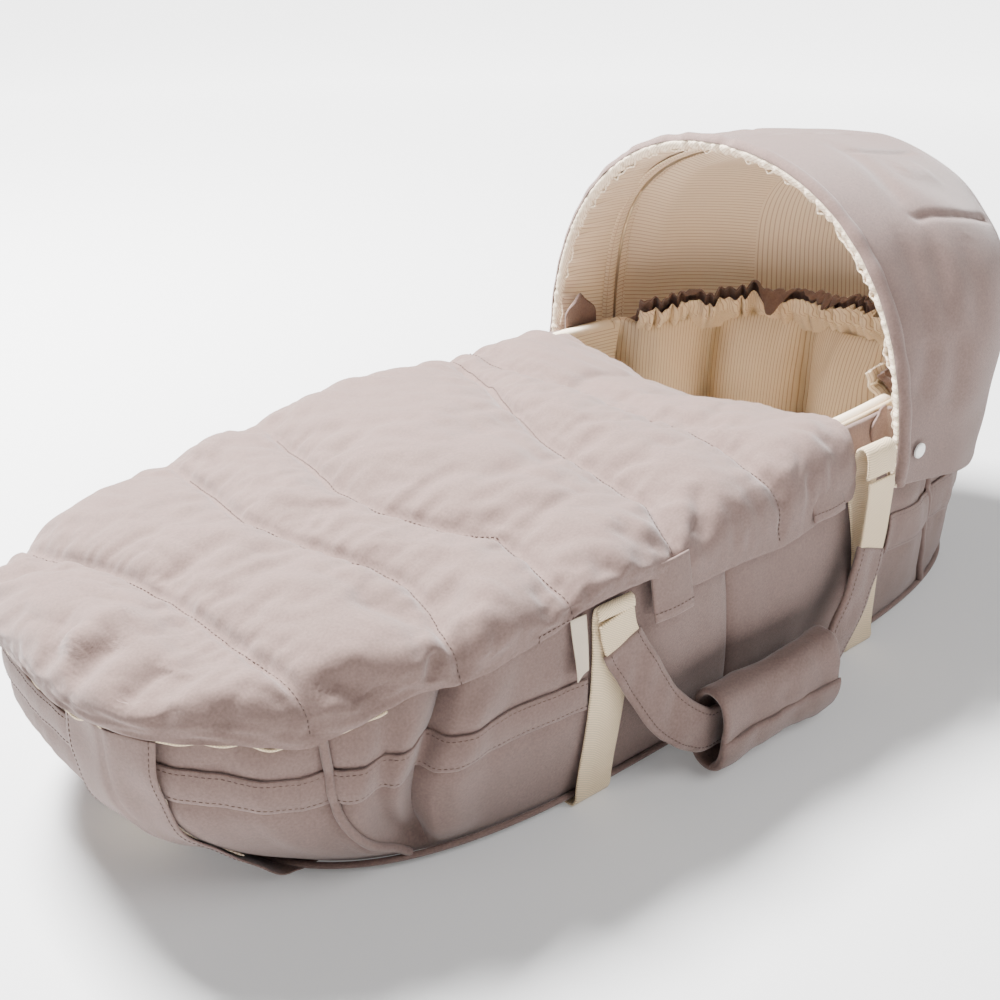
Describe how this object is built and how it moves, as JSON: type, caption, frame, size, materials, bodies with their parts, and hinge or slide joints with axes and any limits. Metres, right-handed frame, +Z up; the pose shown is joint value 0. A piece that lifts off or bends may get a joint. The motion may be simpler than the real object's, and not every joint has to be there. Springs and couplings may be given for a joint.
{
  "type": "carrycot",
  "caption": "Soft quilted carrycot with a fold-back hood, a lift-off padded foot cover, a striped padded lining, webbing carry handles and a wide strap at the foot.",
  "frame": {"origin": "on the floor, under the middle of the flat base panel", "axes": "+X along the cot towards the head end and the hood, +Y across it to the far side, +Z up"},
  "size_m": [0.8691, 0.4387, 0.3764],
  "materials": {
    "taupe_cotton": "matt woven cotton twill",
    "striped_cotton": "matt plain-woven cotton with fine tan stripes",
    "cream_tape": "unbleached cotton webbing, tape and cord",
    "steel": "plain steel",
    "white_plastic": "moulded white snap cap",
    "board": "pressed fibre board"
  },
  "bodies": {
    "root": {"band_foot": "taupe_cotton", "band_head": "taupe_cotton", "band_side_foot_far": "taupe_cotton", "band_side_foot_near": "taupe_cotton", "band_side_head_far": "taupe_cotton", "band_side_head_near": "taupe_cotton", "base_board": "board", "bottom_panel": "taupe_cotton", "bow_pocket_far": "taupe_cotton", "bow_pocket_near": "taupe_cotton", "corner_gusset_far": "taupe_cotton", "corner_gusset_near": "taupe_cotton", "drawcord": "cream_tape", "drawcord_eyelet": "steel", "foot_panel": "taupe_cotton", "foot_strap": "taupe_cotton", "foot_strap_lining": "striped_cotton", "frill_lining": "striped_cotton", "frill_outer": "taupe_cotton", "head_panel": "taupe_cotton", "hood_canopy": "taupe_cotton", "hood_lining": "striped_cotton", "hood_snap_stud_far": "steel", "hood_snap_stud_near": "steel", "liner_foot": "striped_cotton", "liner_head": "striped_cotton", "liner_side_far": "striped_cotton", "liner_side_near": "striped_cotton", "mattress": "striped_cotton", "piping_base": "taupe_cotton", "piping_foot_far": "taupe_cotton", "piping_foot_near": "taupe_cotton", "piping_head_far": "taupe_cotton", "piping_head_near": "taupe_cotton", "rim_binding_far": "cream_tape", "rim_binding_near": "cream_tape", "side_label": "cream_tape", "side_panel_foot_far": "taupe_cotton", "side_panel_foot_near": "taupe_cotton", "side_panel_head_far": "taupe_cotton", "side_panel_head_near": "taupe_cotton", "webbing_front": "cream_tape", "webbing_rear": "cream_tape"},
    "cover": {"cover_quilt": "taupe_cotton", "cover_hem_elastic": "cream_tape", "cover_tab_front_far": "taupe_cotton", "cover_tab_front_near": "taupe_cotton", "cover_tab_rear_far": "taupe_cotton", "cover_tab_rear_near": "taupe_cotton"},
    "handle_near": {"handle_strap_near": "taupe_cotton", "grip_sleeve_near": "taupe_cotton"},
    "handle_far": {"handle_strap_far": "taupe_cotton"},
    "hood_front": {"hood_brim": "taupe_cotton", "hood_brim_lining": "striped_cotton", "hood_front_roll": "taupe_cotton", "hood_bow": "steel", "hood_bow_casing": "striped_cotton", "hood_snap_cap_near": "white_plastic", "hood_snap_cap_far": "white_plastic"}
  },
  "joints": [
    {"name": "cover_lift", "type": "slide", "parent": "root", "child": "cover", "axis": [0, 0, 1], "range_m": [0, 0.2]},
    {"name": "handle_near_swing", "type": "hinge", "parent": "root", "child": "handle_near", "pos_m": [-0.107, -0.1885, 0.147], "axis": [-0.9949, 0.0387, -0.0929], "range_deg": [0, 140]},
    {"name": "handle_far_swing", "type": "hinge", "parent": "root", "child": "handle_far", "pos_m": [-0.107, 0.1885, 0.147], "axis": [0.9949, 0.0387, 0.0929], "range_deg": [0, 140]},
    {"name": "hood_fold", "type": "hinge", "parent": "root", "child": "hood_front", "pos_m": [0.225, 0, 0.165], "axis": [0, 1, 0], "range_deg": [0, 50], "deforming": ["hood_canopy", "hood_lining"]}
  ]
}
